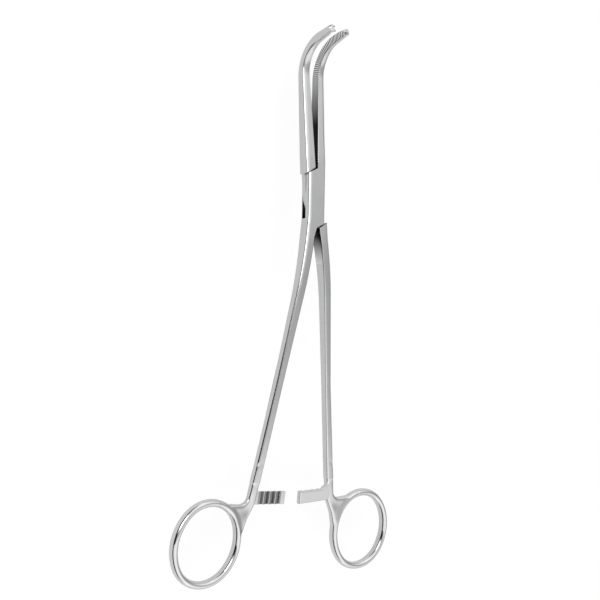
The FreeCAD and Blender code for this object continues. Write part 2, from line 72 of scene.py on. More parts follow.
RELIEF_START = JAW_END - TOOTH_LENGTH - RELIEF_LENGTH
NOSE_LENGTH, NOSE_SHARE = 0.7, 0.72

SHANK_START, SHANK_SEAM = 18.0, 114.0
SHANK_INNER, SHANK_SPREAD = 0.85, 0.114
SETBACK, SETBACK_TURN = 136.0, math.radians(10.9)
SHANK_KNOTS = (SHANK_START, 80.0, 120.0)
SHANK_WIDTHS = (4.5, 3.4, 3.8)
SHANK_ROUNDINGS = (OUTER_ROUNDING, 1.4, 1.2)
SHANK_HALVES = (HALF_THICK, 2.3, 1.85, 1.7)
SEAM_TAPER = 0.03


def between(s, knots, values):
    """Straight-line value between knots."""
    for k0, k1, v0, v1 in zip(knots, knots[1:], values, values[1:]):
        if s <= k1:
            return v0 + (v1 - v0) * (s - k0) / (k1 - k0)
    return values[-1]


def prism(corners, drawn):
    """Solid over a closed flat outline, drawn along a vector."""
    bm = bmesh.new()
    face = bm.faces.new([bm.verts.new(corner) for corner in corners])
    risen = bmesh.ops.extrude_face_region(bm, geom=[face])["geom"]
    risen = [v for v in risen if isinstance(v, bmesh.types.BMVert)]
    bmesh.ops.translate(bm, verts=risen, vec=drawn)
    bmesh.ops.recalc_face_normals(bm, faces=bm.faces)
    return bm


def plate(outline, low, high):
    """Flat plate over a closed outline, from z = low to z = high."""
    return prism([(x, y, low) for x, y in outline], (0, 0, high - low))


def rounded(bm, edges, radius, segments):
    bmesh.ops.bevel(bm, geom=edges, offset=radius, offset_type="OFFSET", segments=segments,
                    profile=0.5, affect="EDGES", material=-1, clamp_overlap=True)


def softened(bm, sides, radius, segments):
    """Rounds the front and back rims that lie over some sides of a plate's outline."""
    rims = []
    for start, end in sides:
        start, end = Vector(start), Vector(end)
        along = (end - start).normalized()
        for edge in bm.edges:
            ends = [v.co for v in edge.verts]
            if abs(ends[0].z - ends[1].z) < 1e-4 and abs(abs(ends[0].z) - HALF_THICK) < 1e-4:
                if all(abs((p.xy - start).cross(along)) < 1e-3 for p in ends):
                    rims.append(edge)
    rounded(bm, rims, radius, segments)


def end_face(bm, y, side):
    """Flat face that closes a bar at y, on one side of the middle."""
    return next(f for f in bm.faces
                if all(abs(v.co.y - y) < 1e-3 for v in f.verts)
                and f.calc_center_median().x * side > 0)


def drawn_out(bm, end, side, way, stations):
    """Extrudes a bar's end face on through stations of (s, inner side, filed depth, outer
    side, half thickness, crown). The first is where the bar ends now. The crown is how far
    the outer corners' oval rounding reaches across and down."""
    _, inner, _, outer, half, crown = stations[0]
    marks = {}
    for v in end.verts:
        x, z = v.co.x * side, v.co.z
        if x > outer - crown[0] - 1e-4:
            marks[tuple(v.co)] = (True, (x - outer) / crown[0] + 1, (abs(z) - half) / crown[1] + 1)
        else:
            marks[tuple(v.co)] = (False, x - inner, half - abs(z))
    for s, inner, filed, outer, half, crown in stations[1:]:
        end = bmesh.ops.extrude_discrete_faces(bm, faces=[end])["faces"][0]
        moved = {}
        for v in end.verts:
            is_outer, a, b = marks[tuple(v.co)]
            if is_outer:
                x, z = outer + (a - 1) * crown[0], half + (b - 1) * crown[1]
            else:
                x, z = inner + max(a, filed), half - b
            v.co = (x * side, s * way, math.copysign(z, v.co.z))
            moved[tuple(v.co)] = (is_outer, a, b)
        marks = moved


def jaw_size(s):
    """Width and half thickness of a jaw at s along it."""
    s = max(s, JAW_ROOT)
    return between(s, JAW_KNOTS, JAW_WIDTHS), between(s, JAW_KNOTS, JAW_HALVES)


def jaw_stations(start, crowned_at):
    """Stations along a jaw: three for each groove, then the relief behind the tooth and the
    nose. The outer rims grow rounder from the start to crowned_at."""
    marks = [(start, 0.0)]
    for i in range(int((RELIEF_START - GROOVE_START) / GROOVE_PITCH)):
        middle = GROOVE_START + (i + 0.5) * GROOVE_PITCH
        marks += [(middle - GROOVE_HALF, 0.0), (middle, GROOVE_DEPTH), (middle + GROOVE_HALF, 0.0)]
    marks += [(RELIEF_START, 0.0), (RELIEF_START + RELIEF_WALL, RELIEF_DEPTH),
              (RELIEF_START + RELIEF_LENGTH - RELIEF_WALL, RELIEF_DEPTH),
              (RELIEF_START + RELIEF_LENGTH, 0.0), (JAW_END - NOSE_LENGTH, 0.0), (JAW_END, 0.0)]
    stations = []
    for s, filed in marks:
        width, half = jaw_size(s)
        share = between(s, (start, crowned_at), (0.0, 1.0))
        crown = (BOX_ROUNDING + share * CROWN_GAIN_ACROSS, BOX_ROUNDING + share * CROWN_GAIN_DOWN)
        stations.append((s, HALF_GAP, filed, width, half, crown))
    s, inner, filed, outer, half, crown = stations[-1]
    stations[-1] = (s, inner, filed, inner + (outer - inner) * NOSE_SHARE, half * NOSE_SHARE,
                    (crown[0] * NOSE_SHARE, crown[1] * NOSE_SHARE))
    return stations


def shank_section(s):
    """Station of the right shank at s down it."""
    inner = SHANK_INNER + SHANK_SPREAD * (s - SHANK_START)
    width = between(s, SHANK_KNOTS, SHANK_WIDTHS)
    knots = (SHANK_START, SHANK_START + SETBACK * SETBACK_TURN) + SHANK_KNOTS[1:]
    half = between(s, knots, SHANK_HALVES)
    crown = between(s, SHANK_KNOTS, SHANK_ROUNDINGS)
    return s, inner, 0.0, inner + width, half, (crown, crown)


def shank_stations(steps=48):
    """Stations down a shank to the seam, where it ends a hair inside the ring's piece."""
    step = (SHANK_SEAM - SHANK_START) / steps
    stations = [shank_section(SHANK_START + step * i) for i in range(steps + 1)]
    s, inner, filed, outer, half, crown = stations[-1]
    stations[-1] = (s, inner + SEAM_TAPER, filed, outer - SEAM_TAPER, half - SEAM_TAPER, crown)
    return stations


def block(s0, s1, x0, x1, z0, z1, tip_share=1.0):
    """Box along a jaw. Its x0 end may be smaller than the rest, as a tooth's is."""
    bm = bmesh.new()
    bmesh.ops.create_cube(bm, size=1.0)
    bmesh.ops.scale(bm, vec=(x1 - x0, s1 - s0, z1 - z0), verts=bm.verts)
    for v in bm.verts:
        if v.co.x < 0:
            v.co.yz *= tip_share
    bmesh.ops.translate(bm, vec=((x0 + x1) / 2, (s0 + s1) / 2, (z0 + z1) / 2), verts=bm.verts)
    return bm


def mesh_object(bm, name):
    mesh = bpy.data.meshes.new(name)
    bm.to_mesh(mesh)
    bm.free()
    made = bpy.data.objects.new(name, mesh)
    bpy.context.scene.collection.objects.link(made)
    return made


def modified(made):
    """The object's mesh with its modifiers worked in, as a bmesh. The object is removed."""
    bpy.context.view_layer.update()
    worked = made.evaluated_get(bpy.context.evaluated_depsgraph_get())
    bm = bmesh.new()
    bm.from_mesh(worked.to_mesh())
    worked.to_mesh_clear()
    bpy.data.objects.remove(made)
    return bm


def carved(bm, tools):
    """The shape with other closed shapes cut out of it."""
    made = mesh_object(bm, "blank")
    cutters = [mesh_object(tool, "cutter") for tool in tools]
    for cutter in cutters:
        cut = made.modifiers.new("cut", "BOOLEAN")
        cut.object, cut.operation, cut.solver = cutter, "DIFFERENCE", "EXACT"
    bm = modified(made)
    for cutter in cutters:
        bpy.data.objects.remove(cutter)
    return bm


def joined(bm, others):
    """One bmesh out of several shapes that overlap."""
    for other in others:
        mesh = bpy.data.meshes.new("part")
        other.to_mesh(mesh)
        other.free()
        bm.from_mesh(mesh)
        bpy.data.meshes.remove(mesh)
    return bm


def with_teeth(bm, tooth_middles, notches):
    """Cuts the notches at a jaw's tip and sets its teeth on the inner face."""
    back, front = JAW_END - TOOTH_LENGTH, JAW_END - TOOTH_INSET
    bm = carved(bm, [block(back - TOOTH_GAP, JAW_END + 1, -1.0, NOTCH_DEPTH, low, high)
                     for low, high in notches])
    teeth = []
    for middle in tooth_middles:
        half = TOOTH_WIDTH / 2
        point = block(back, front, -TOOTH_RISE, 0.0, -half, half, TOOTH_POINT_SHARE)
        bmesh.ops.translate(point, vec=(0, 0, middle), verts=point.verts)
        teeth += [block(back, front, 0.0, TOOTH_ROOT, middle - half, middle + half), point]
    return joined(bm, teeth)


def mirrored(bm):
    """The same shape for the other side."""
    bmesh.ops.scale(bm, vec=(-1, 1, 1), verts=bm.verts)
    bmesh.ops.reverse_faces(bm, faces=bm.faces)
    return bm


def bent(bm):
    """Bends the straight bars: the jaws up and the shanks back, as their middles run."""
    for v in bm.verts:
        x, y, z = v.co
        if y > JAW_STRAIGHT:
            turn = min((y - JAW_STRAIGHT) / JAW_BEND, JAW_TURN)
            beyond = max(y - BEND_END, 0.0)
            v.co = (x, JAW_STRAIGHT + (JAW_BEND - z) * math.sin(turn) + beyond * math.cos(turn),
                    JAW_BEND - (JAW_BEND - z) * math.cos(turn) + beyond * math.sin(turn))
        elif -y > SHANK_START:
            turn = min((-y - SHANK_START) / SETBACK, SETBACK_TURN)
            beyond = max(-y - SHANK_START - SETBACK * SETBACK_TURN, 0.0)
            v.co = (x, -SHANK_START - (SETBACK + z) * math.sin(turn) - beyond * math.cos(turn),
                    (SETBACK + z) * math.cos(turn) - SETBACK - beyond * math.sin(turn))
    return bm


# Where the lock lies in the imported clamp, in metres, with the pin's lean.
hinge = frame["joints"][0]
HINGE_LEAN = math.atan2(hinge["axis"][1], hinge["axis"][2])
LOCK_STAND = Matrix.Translation(hinge["pos_m"]) @ Matrix.Rotation(-HINGE_LEAN, 4, "X")


def laid(bm, opening):
    """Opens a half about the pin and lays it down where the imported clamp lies."""
    bm.transform(LOCK_STAND @ Matrix.Rotation(math.radians(opening), 4, "Z")
                 @ Matrix.Scale(0.001, 4))
    return bm


class Wire:
    """A shader socket. Sums and products of it add the nodes that work them out."""

    def __init__(self, tree, socket=None):
        self.tree, self.socket = tree, socket

    def node(self, kind, settings, sockets, out=0):
        """Adds a node, sets it up, feeds its sockets and gives one of its outputs."""
        made = self.tree.nodes.new(kind)
        for name, value in settings.items():
            if name == "stops":
                ramp = made.color_ramp
                while len(ramp.elements) < len(value):
                    ramp.elements.new(0.5)
                for stop, (place, level) in zip(ramp.elements, value):
                    stop.position, stop.color = place, (level, level, level, 1)
            else:
                setattr(made, name, value)
        for name, value in sockets.items():
            if isinstance(value, Wire):
                self.tree.links.new(value.socket, made.inputs[name])
            else:
                made.inputs[name].default_value = value
        return Wire(self.tree, made.outputs[out] if len(made.outputs) else None)

    def maths(self, operation, *values):
        return self.node("ShaderNodeMath", {"operation": operation}, dict(enumerate(values)))

    def __add__(self, other):
        return self.maths("ADD", self, other)

    def __sub__(self, other):
        return self.maths("SUBTRACT", self, other)

    def __rsub__(self, other):
        return self.maths("SUBTRACT", other, self)

    def __mul__(self, other):
        return self.maths("MULTIPLY", self, other)

    __radd__, __rmul__ = __add__, __mul__


POLISHING_LINES = (5200, 240, 5200)
FORGING_SCALE, HANDLING_SCALE = 95.0, 320.0
POLISHED_AND_LIT_AT = -0.075
POLISH_SHEEN, POLISH_PAINTED_LIGHT, COOLNESS = 0.14, 0.05, 1.012
FORGING_SHADE, LINE_SHADE = 0.05, 0.04
FORGING_RELIEF, LINE_RELIEF, LINE_STRENGTH = 0.0004, 0.00002, 0.05


def steel(name, stretch, levels, roughness, grain, waviness):
    """Stainless steel: fine polishing lines along the length over a slightly uneven forging,
    smoother towards the rings, where it is polished, with a painted lighter tone there. Its level
    changes over a stretch of y."""
    material = bpy.data.materials.new(name)
    material.use_nodes = True
    tree = material.node_tree
    tree.nodes.clear()
    wire = Wire(tree)
    place = wire.node("ShaderNodeTexCoord", {}, {}, "Object")
    lines_at = wire.node("ShaderNodeMapping", {}, {"Vector": place, "Scale": POLISHING_LINES})
    lines = wire.node("ShaderNodeTexNoise", {}, {"Vector": lines_at, "Scale": 1.0, "Detail": 3.0,
                                                 "Roughness": 0.6})
    forging = wire.node("ShaderNodeTexNoise", {}, {"Vector": place, "Scale": FORGING_SCALE,
                                                   "Detail": 2.0})
    handling = wire.node("ShaderNodeTexNoise", {}, {"Vector": place, "Scale": HANDLING_SCALE,
                                                    "Detail": 4.0})
    height = wire.node("ShaderNodeSeparateXYZ", {}, {"Vector": place}, "Y")
    level = wire.node("ShaderNodeMapRange", {}, {"Value": height,
                                                 "From Min": stretch[0], "To Min": levels[0],
                                                 "From Max": stretch[1], "To Max": levels[1]})
    polish_and_painted_light = wire.node("ShaderNodeMapRange", {}, {"Value": height,
                                                  "From Min": 0.0, "To Min": 0.0,
                                                  "From Max": POLISHED_AND_LIT_AT, "To Max": 1.0})
    shade = (level + FORGING_SHADE * (forging - 0.5) + LINE_SHADE * (lines - 0.5)
             + POLISH_PAINTED_LIGHT * polish_and_painted_light)
    colour = wire.node("ShaderNodeCombineColor", {},
                       {"Red": shade, "Green": shade, "Blue": shade * COOLNESS})
    rough = (roughness - POLISH_SHEEN * polish_and_painted_light + grain * (lines - 0.5)
             + 0.5 * grain * (handling - 0.5))
    relief = wire.node("ShaderNodeBump", {}, {"Strength": LINE_STRENGTH,
                                              "Distance": LINE_RELIEF, "Height": lines})
    relief = wire.node("ShaderNodeBump", {}, {"Strength": waviness, "Distance": FORGING_RELIEF,
                                              "Height": forging, "Normal": relief})
    surface = wire.node("ShaderNodeBsdfPrincipled", {},
                        {"Base Color": colour, "Metallic": 1.0, "Roughness": rough,
                         "Normal": relief})
    wire.node("ShaderNodeOutputMaterial", {}, {"Surface": surface})
    return material


# Satin all over, with shade painted darker where little light comes in: in the grooves, the slot
# and the crotch and on the lands between the grooves, and painted shade on the rougher milled neck
# and gullets. The lands' painted shade turns to a painted highlight towards the jaw's bend, and
# the crotch's painted shade darkens towards its top.
EVERYWHERE = (0.0, 1.0)
LANDS_FADE, CROTCH_FADE = (0.077, 0.096), (0.018, 0.029)
satin_steel = steel("satin_steel", EVERYWHERE, (0.61, 0.61), 0.25, 0.06, 0.06)
deep_shade_steel = steel("deep_shade_steel", LANDS_FADE, (0.015, 0.04), 0.40, 0.04, 0.0)
lands_light_and_shade_steel = steel("lands_light_and_shade_steel", LANDS_FADE, (0.02, 0.95), 0.35, 0.04, 0.0)
shaded_steel = steel("shaded_steel", CROTCH_FADE, (0.70, 0.03), 0.30, 0.04, 0.0)
milled_and_shaded_steel = steel("milled_and_shaded_steel", EVERYWHERE, (0.36, 0.36), 0.40, 0.06, 0.0)
SATIN, DEEP_SHADE, LANDS_LIGHT_AND_SHADE, SHADED, MILLED_AND_SHADED = range(5)


CRISP_TURN = math.radians(28)


def piece(bm, name, half, opening, edge, materials, node):
    """Finishes a shape as a piece of one half: laid down, its crisp edges broken, dressed."""
    bmesh.ops.recalc_face_normals(bm, faces=bm.faces)
    made = mesh_object(laid(bm, opening), name)
    made.data.polygons.foreach_set("use_smooth", [True] * len(made.data.polygons))
    for material in materials:
        made.data.materials.append(material)
    if edge:
        broken = made.modifiers.new("broken_edges", "BEVEL")
        broken.width, broken.segments, broken.limit_method = edge * 0.001, 2, "ANGLE"
        broken.angle_limit = CRISP_TURN
        even = made.modifiers.new("even_faces", "WEIGHTED_NORMAL")
        even.weight, even.keep_sharp = 60, False
    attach(made, half)
    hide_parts(node)


def mark_grooves(jaw):
    """Paints shade into the grooves of a jaw's inner face, and shade and highlight on its lands."""
    for face in jaw.faces:
        middle, normal = face.calc_center_median(), face.normal
        near_face = middle.x < HALF_GAP + GROOVE_DEPTH
        if near_face and JAW_SHOULDER < middle.y < RELIEF_START:
            if abs(normal.y) > 0.5 and normal.x < -0.3:
                face.material_index = DEEP_SHADE
            elif normal.x < -0.9:
                face.material_index = LANDS_LIGHT_AND_SHADE


CROTCH_REACH, CROTCH_LOW = 2.5, -28.0


def mark_crotch(bm, side):
    """Paints shade on the box's lower shoulders and on the faces that look into the crotch."""
    for face in bm.faces:
        middle, normal = face.calc_center_median(), face.normal
        if abs(normal.y) > 0.7 and abs(normal.z) < 0.1 and HANDLE_SHOULDER < middle.y < 0:
            face.material_index = DEEP_SHADE
        elif normal.x * side < -0.7 and abs(middle.x) < CROTCH_REACH:
            if CROTCH_LOW < middle.y < CHEEK_LOW:
                face.material_index = SHADED


shoulder_drop = HALF_LOCK * SHOULDER_SLOPE
shank_outer = SHANK_INNER + SHANK_WIDTHS[0]
jaw_face, jaw_outer = (HALF_GAP, JAW_START), (JAW_WIDTHS[0], JAW_START)
right_low, centre_low = (HALF_LOCK, HANDLE_SHOULDER + shoulder_drop), (0.0, HANDLE_SHOULDER)
inner_low, outer_low = (-SHANK_INNER, -SHANK_START), (-shank_outer, -SHANK_START)
left_low, left_top = (-HALF_LOCK, CHEEK_LOW), (-HALF_LOCK, JAW_SHOULDER - shoulder_drop)
centre_top = (HALF_GAP, JAW_SHOULDER + HALF_GAP * SHOULDER_SLOPE)

female = plate([jaw_face, jaw_outer, right_low, centre_low, inner_low, outer_low, left_low,
                left_top, centre_top], -HALF_THICK, HALF_THICK)
softened(female, [(outer_low, left_low), (left_low, left_top)], OUTER_ROUNDING, 8)
softened(female, [(jaw_outer, right_low)], BOX_ROUNDING, 8)
softened(female, [(centre_low, inner_low)], INNER_ROUNDING, 4)
softened(female, [(centre_top, jaw_face)], JAW_FACE_ROUNDING, 1)
softened(female, [(right_low, centre_low), (left_top, centre_top)], SHOULDER_ROUNDING, 1)
drawn_out(female, end_face(female, JAW_START, 1), 1, 1, jaw_stations(JAW_START, CROWNED_AT))
drawn_out(female, end_face(female, -SHANK_START, -1), -1, -1, shank_stations())
bmesh.ops.recalc_face_normals(female, faces=female.faces)
mark_grooves(female)
mark_crotch(female, -1)

# The slot, open at the left edge above and at the right edge below.
SLOT_BACK, SLOT_FRONT = -1.6, 0.6
BEYOND, SLOT_TOP, SLOT_RIGHT, HAIR = 9.0, 17.0, 5.955, 0.01
female = carved(female, [plate([(-BEYOND, SLOT_TOP), (0.0, SLOT_TOP), (0.0, JAW_SHOULDER),
                                (BEYOND, SLOT_RIGHT), (BEYOND, -SHANK_START),
                                (0.0, -SHANK_START), (0.0, HANDLE_SHOULDER), left_low,
                                (-BEYOND, CHEEK_LOW)], SLOT_BACK, SLOT_FRONT)])
# Painted shade on the faces inside the slot.
for face in female.faces:
    x, y, z = face.calc_center_median()
    in_outline = abs(x) < HALF_LOCK - HAIR and 1 - SHANK_START < y < JAW_SHOULDER + HAIR
    if in_outline and SLOT_BACK - HAIR < z < SLOT_FRONT + HAIR:
        face.material_index = DEEP_SHADE

notch = TOOTH_WIDTH / 2 + TOOTH_GAP
female = with_teeth(female, [0.0], [(-HALF_THICK, -notch), (notch, HALF_THICK)])
FEMALE_OPENING, MALE_OPENING = -2.5, 2.5
BROKEN_EDGE = 0.07
jaw_steels = [satin_steel, deep_shade_steel, lands_light_and_shade_steel, shaded_steel]
piece(bent(female), "female_jaw_box_shank", "female", FEMALE_OPENING, BROKEN_EDGE, jaw_steels,
      "female_half")

# Male half. The other forging: the left jaw, the flat neck that passes through the slot of
# the box, filed to an hourglass so that it can turn there, and the right shank.

SHOULDER_CLEARANCE, SHOULDER_INNER = 0.28, 0.4
STUB_START, STUB_END = 5.0, 6.0
lift = SHOULDER_CLEARANCE / math.cos(SHOULDER_TURN)


def shoulder_point(x, middle, rise):
    """Point at x on a shoulder of the male half, which clears the box's by the lift."""
    return x, middle + rise * (x * SHOULDER_SLOPE - lift)


corner = shoulder_point(JAW_WIDTHS[0], JAW_SHOULDER, -1)
centre = shoulder_point(HALF_GAP, JAW_SHOULDER, -1)
stub = [(JAW_WIDTHS[0], STUB_START), (HALF_GAP, STUB_START), (HALF_GAP, STUB_END),
        (JAW_WIDTHS[0], STUB_END)]
male_jaw = plate(stub, -HALF_THICK, HALF_THICK)
softened(male_jaw, [(stub[3], stub[0])], BOX_ROUNDING, 8)
softened(male_jaw, [(stub[2], stub[1])], JAW_FACE_ROUNDING, 1)
drawn_out(male_jaw, end_face(male_jaw, STUB_END, 1), 1, 1, jaw_stations(STUB_END, STUB_END + 1))
shoulder = Vector((centre[0] - corner[0], centre[1] - corner[1], 0))
everything = male_jaw.verts[:] + male_jaw.edges[:] + male_jaw.faces[:]
cut = bmesh.ops.bisect_plane(male_jaw, geom=everything, dist=1e-5,
                             plane_co=(corner[0], corner[1], 0),
                             plane_no=(shoulder.y, -shoulder.x, 0), clear_inner=True)
bmesh.ops.holes_fill(male_jaw, edges=[e for e in cut["geom_cut"]
                                      if isinstance(e, bmesh.types.BMEdge)], sides=0)
bmesh.ops.recalc_face_normals(male_jaw, faces=male_jaw.faces)
tooth_middle = TOOTH_WIDTH + 2 * TOOTH_GAP
male_jaw = mirrored(with_teeth(male_jaw, [-tooth_middle, tooth_middle], [(-notch, notch)]))

outer_high = shoulder_point(shank_outer, HANDLE_SHOULDER, 1)
inner_high = shoulder_point(SHOULDER_INNER, HANDLE_SHOULDER, 1)
shank_low = (SHANK_INNER, -SHANK_START), (shank_outer, -SHANK_START)
male_shank = plate([outer_high, inner_high, *shank_low], -HALF_THICK, HALF_THICK)
softened(male_shank, [(outer_high, shank_low[1])], OUTER_ROUNDING, 8)
softened(male_shank, [(inner_high, shank_low[0])], INNER_ROUNDING, 4)
softened(male_shank, [(outer_high, inner_high)], SHOULDER_ROUNDING, 1)
drawn_out(male_shank, end_face(male_shank, -SHANK_START, 1), 1, -1, shank_stations())
bmesh.ops.recalc_face_normals(male_shank, faces=male_shank.faces)
mark_crotch(male_shank, 1)

# The neck runs on a little inside the jaw and the shank, which hold it.
NECK_SIDE, NECK_STRAIGHT, NECK_HEEL = HALF_LOCK - 0.1, 1.2, (-3.25, -9.0)
NECK_GAP, NECK_INTO, CENTRE_INTO = 0.05, 1.0, 0.4
neck = plate([(-NECK_SIDE, corner[1] + NECK_INTO), (-NECK_SIDE, -NECK_STRAIGHT), NECK_HEEL,
              (CENTRE_INTO, HANDLE_SHOULDER - CENTRE_INTO),
              (NECK_SIDE, HANDLE_SHOULDER + shoulder_drop - lift - NECK_INTO),
              (NECK_SIDE, NECK_STRAIGHT), (-CENTRE_INTO, JAW_SHOULDER + CENTRE_INTO)],
             SLOT_BACK + NECK_GAP, SLOT_FRONT - NECK_GAP)
# Painted shade, with a rougher milled finish, on the neck's faces, except the two that face across,
# which stay satin.
for face in neck.faces:
    face.material_index = SATIN if abs(face.normal.x) > 0.98 else MILLED_AND_SHADED
piece(bent(joined(male_jaw, [male_shank, neck])), "male_jaw_neck_shank", "male", MALE_OPENING,
      BROKEN_EDGE, jaw_steels + [milled_and_shaded_steel], "male_half")

# Pivot pin. A plain steel pin, riveted over at both ends and ground flush with the box, so
# that only a hair line shows where it is.

PIN_RADIUS, PIN_PROUD, PIN_BROKEN_EDGE = 1.59, 0.003, 0.03
pin = bmesh.new()
bmesh.ops.create_cone(pin, cap_ends=True, segments=64, radius1=PIN_RADIUS, radius2=PIN_RADIUS,
                      depth=2 * (HALF_THICK + PIN_PROUD))
piece(pin, "pivot_pin_flush", "female", FEMALE_OPENING, PIN_BROKEN_EDGE, [satin_steel],
      "pivot_pin")

# Finger rings. Each shank spreads into a flat web with rounded rims and an oval ring of
# oval section, forged in one with it and polished. Drawn flat for the right-hand ring.

RING_X, RING_Y, RING_LEAN = 34.3, -145.8, math.radians(5.1)
RING_ACROSS, RING_ALONG = 14.8, 16.7
WIRE_HALF_WIDTH, WIRE_HALF_THICK, WIRE_SIDES, ARC_STEPS = 1.6, 2.2, 32, 48
ARM_HIGH, ARM_LOW = -124.9, -130.3
WEB_START, WEB_HALF_THICK, WEB_ROUNDING, WEB_SINK = 116.0, 1.65, 0.9, 1.5
WEB_TOP_TURN, WEB_SIDE_TURN = 24.0, 75.0
HEEL_RADIUS, BOW_RADIUS, CROTCH_RADIUS, BOW_DEPTH, CROTCH_DROP = 4.0, 8.0, 3.5, 1.6, 0.5
END_START, END_STUB, END_THINNER = 112.5, 0.5, 0.02
END_STATIONS = (115.0, 120.0, 121.5)


def ring_point(turn):
    """Point inside the ring's wire at an angle from its long axis, in degrees."""
    across = -RING_ACROSS * math.sin(math.radians(turn))
    along = RING_ALONG * math.cos(math.radians(turn))
    return Vector((RING_X + across * math.cos(RING_LEAN) - along * math.sin(RING_LEAN),
                   RING_Y + across * math.sin(RING_LEAN) + along * math.cos(RING_LEAN)))


def ring_wire():
    """Oval of four arcs, each spun on from the end of the last."""
    end_radius = (RING_ACROSS ** 2 / RING_ALONG + RING_ACROSS) / 2
    rise = RING_ALONG - end_radius
    side_radius = ((rise ** 2 + RING_ACROSS ** 2 - end_radius ** 2)
                   / (2 * (RING_ACROSS - end_radius)))
    inset = side_radius - RING_ACROSS
    end_turn = math.atan2(inset, rise)
    side_turn = math.pi / 2 - end_turn
    bm = bmesh.new()
    bmesh.ops.create_circle(bm, cap_ends=False, radius=1.0, segments=WIRE_SIDES)
    bmesh.ops.scale(bm, vec=(WIRE_HALF_WIDTH, WIRE_HALF_THICK, 1), verts=bm.verts)
    bm.transform(Matrix.Translation((0, rise, 0)) @ Matrix.Rotation(side_turn, 4, "Z")
                 @ Matrix.Translation((end_radius, 0, 0)) @ Matrix.Rotation(math.pi / 2, 4, "X"))
    last = list(bm.edges)
    for middle, half_turn in (((0, rise, 0), end_turn), ((inset, 0, 0), side_turn),
                              ((0, -rise, 0), end_turn), ((-inset, 0, 0), side_turn)):
        spun = bmesh.ops.spin(bm, geom=last, cent=middle, axis=(0, 0, 1), dvec=(0, 0, 0),
                              angle=2 * half_turn, steps=ARC_STEPS, use_merge=False,
                              use_duplicate=False)
        last = [e for e in spun["geom_last"] if isinstance(e, bmesh.types.BMEdge)]
    bmesh.ops.remove_doubles(bm, verts=bm.verts, dist=0.01)
    bm.transform(Matrix.Translation((RING_X, RING_Y, 0)) @ Matrix.Rotation(RING_LEAN, 4, "Z"))
    bmesh.ops.recalc_face_normals(bm, faces=bm.faces)
    return bm


def cornered(points, radii):
    """Closed outline whose corners are rounded by the radii given to them."""
    outline = []
    for i, (corner, radius) in enumerate(zip(points, radii)):
        if not radius:
            outline.append(tuple(corner))
            continue
        back = (points[i - 1] - corner).normalized()
        onwards = (points[(i + 1) % len(points)] - corner).normalized()
        half = back.angle(onwards) / 2
        hub = corner + (back + onwards).normalized() * radius / math.sin(half)
        first = corner + back * radius / math.tan(half) - hub
        last = corner + onwards * radius / math.tan(half) - hub
        outline += [tuple(hub + first.slerp(last, step / 10) * radius) for step in range(11)]
    return outline


def web():
    """Plate between the shank's end and the ring, with its rims well rounded."""
    _, inner, _, outer, _, _ = shank_section(WEB_START)
    heel = Vector((shank_section(-ARM_LOW)[1], ARM_LOW))
    side_end, top_end = ring_point(WEB_SIDE_TURN), ring_point(WEB_TOP_TURN)
    side_rim, top_rim = side_end - Vector((WEB_SINK, 0)), top_end + Vector((0, WEB_SINK))
    bow = Vector((side_rim.x - BOW_DEPTH, (side_rim.y + heel.y) / 2))
    low = SHANK_KNOTS[-1]
    start, further = Vector((outer, -WEB_START)), Vector((shank_section(low)[3], -low))
    share = (start.y - top_rim.y + CROTCH_DROP) / (start.y - further.y)
    corners = [(Vector((inner, -WEB_START)), 0), (heel, HEEL_RADIUS), (bow, BOW_RADIUS),
               (side_rim, 0), (side_end, 0), (ring_point((WEB_SIDE_TURN + WEB_TOP_TURN) / 2), 0),
               (top_end, 0), (top_rim, 0), (start + (further - start) * share, CROTCH_RADIUS),
               (start, 0)]
    bm = plate(cornered(*zip(*corners)), -WEB_HALF_THICK, WEB_HALF_THICK)
    rims = [e for e in bm.edges if abs(e.verts[0].co.z - e.verts[1].co.z) < 1e-4]
    rounded(bm, rims, WEB_ROUNDING, 5)
    return bm


def shank_end():
    """Last stretch of the shank, a hair thinner where it runs on inside the shank above."""
    s, inner, _, outer, half, crown = shank_section(END_START)
    inner, outer, half = inner + END_THINNER, outer - END_THINNER, half - END_THINNER
    on = s + END_STUB
    bm = plate([(inner, -s), (outer, -s), (outer, -on), (inner, -on)], -half, half)
    for x, radius, segments in ((outer, crown[0], 8), (inner, INNER_ROUNDING, 4)):
        rims = [e for e in bm.edges if abs(e.verts[0].co.y - e.verts[1].co.y) > END_STUB - 0.1
                and abs(e.verts[0].co.x - x) < 1e-4]
        rounded(bm, rims, radius, segments)
    drawn_out(bm, end_face(bm, -on, 1), 1, -1,
              [(on, inner, 0.0, outer, half, crown)]
              + [shank_section(station) for station in END_STATIONS])
    return bm


VOXEL = 0.2
BLEND_TURN, BLEND_INSIDE, BLEND_TOP = (4, 95), 15.2, -121.0
DISH, DISH_REACH, DISH_DEPTH = Vector((17.6, -131.5)), 4.0, 0.22


def smoothed(bm, verts, passes):
    for _ in range(passes):
        bmesh.ops.smooth_vert(bm, verts=verts, factor=0.5, use_axis_x=True, use_axis_y=True,
                              use_axis_z=True)


def forged_ring():
    """Ring, web and shank's end run together into one smooth forging, with a hollow web."""
    blank = mesh_object(joined(ring_wire(), [web(), shank_end()]), "ring_blank")
    run_together = blank.modifiers.new("run_together", "REMESH")
    run_together.mode, run_together.voxel_size = "VOXEL", VOXEL
    bm = modified(blank)
    smoothed(bm, bm.verts, 6)
    middle = Vector((RING_X, RING_Y))
    blend = []
    for v in bm.verts:
        out = v.co.xy - middle
        turn = math.degrees(math.atan2(-out.x, out.y)) - math.degrees(RING_LEAN)
        if BLEND_TURN[0] < turn < BLEND_TURN[1]:
            if out.length > BLEND_INSIDE and v.co.y < BLEND_TOP:
                blend.append(v)
    for v in bm.verts:
        v.co.z *= 1 - DISH_DEPTH * math.exp(-((v.co.xy - DISH).length / DISH_REACH) ** 2)
    smoothed(bm, blend, 40)
    return bm


